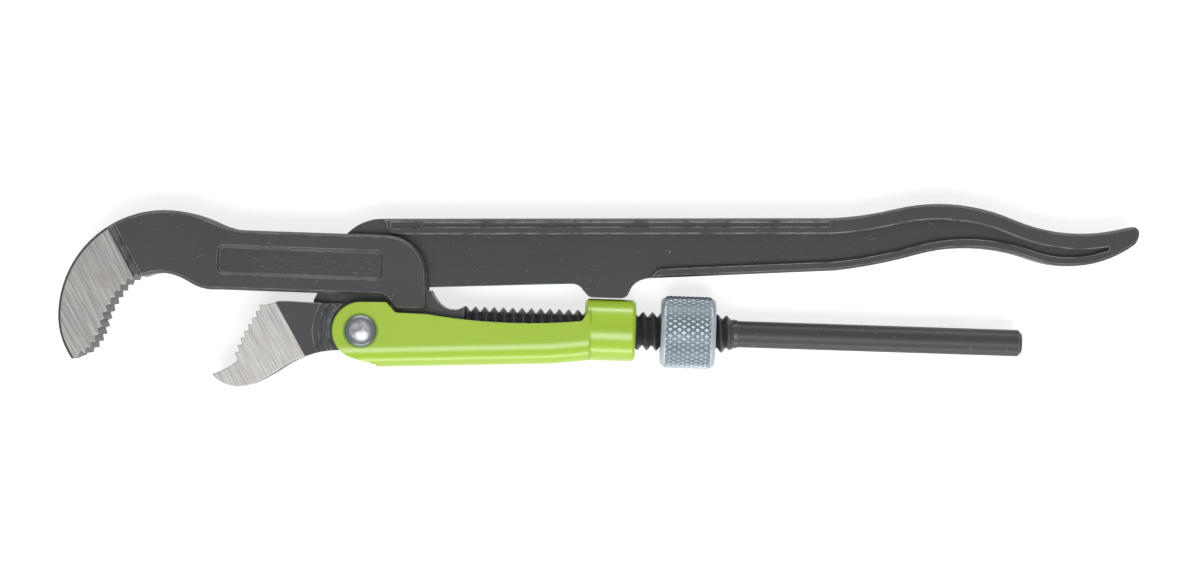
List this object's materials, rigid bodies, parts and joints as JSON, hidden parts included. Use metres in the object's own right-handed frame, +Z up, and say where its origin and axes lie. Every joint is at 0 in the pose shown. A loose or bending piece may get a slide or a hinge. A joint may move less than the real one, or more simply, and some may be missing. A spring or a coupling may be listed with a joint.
{
  "type": "offset pipe wrench",
  "caption": "Offset pipe wrench: toothed hook jaw on a threaded rod, S-shaped lower jaw on the upper handle, folded link bracket with collar, knurled adjusting nut.",
  "frame": {"origin": "centre of the bounding box in plan, at the height of its lowest point", "axes": "+X along the threaded rod from the jaws to the handle ends, +Y in the plane of the wrench towards the upper handle, +Z up out of the plane of the wrench"},
  "size_m": [0.2991, 0.057, 0.0206],
  "materials": {
    "hook_leg_finish": "satin anthracite coat over forged steel, jaw sides ground bright, thread and teeth bare and dark",
    "handle_leg_finish": "satin anthracite coat over forged steel, jaw sides ground bright, teeth bare and dark",
    "bracket_paint": "glossy lime green paint on folded sheet steel",
    "rivet_steel": "bright domed rivet head",
    "nut_zinc": "zinc plated, knurled"
  },
  "bodies": {
    "link_bracket": {"link_bracket": "bracket_paint", "pivot_rivet": "rivet_steel"},
    "handle_leg": {"handle_leg": "handle_leg_finish"},
    "hook_leg": {"hook_leg": "hook_leg_finish"},
    "adjusting_nut": {"adjusting_nut": "nut_zinc"}
  },
  "joints": [
    {"name": "handle_pivot", "type": "hinge", "parent": "link_bracket", "child": "handle_leg", "pos_m": [-0.06555, -0.01188, 0.0103], "axis": [0, 0, 1], "range_deg": [0, 20]},
    {"name": "nut_turn", "type": "hinge", "parent": "link_bracket", "child": "adjusting_nut", "pos_m": [0.02515, -0.00958, 0.0103], "axis": [1, 0, 0], "range_deg": [-4200, 0]},
    {"name": "hook_slide", "type": "slide", "parent": "link_bracket", "child": "hook_leg", "axis": [1, 0, 0], "range_m": [0, 0.0299]}
  ],
  "couplings": [
    {"joint": "nut_turn", "follows": "hook_slide", "rad_per_m": -2416.6}
  ]
}
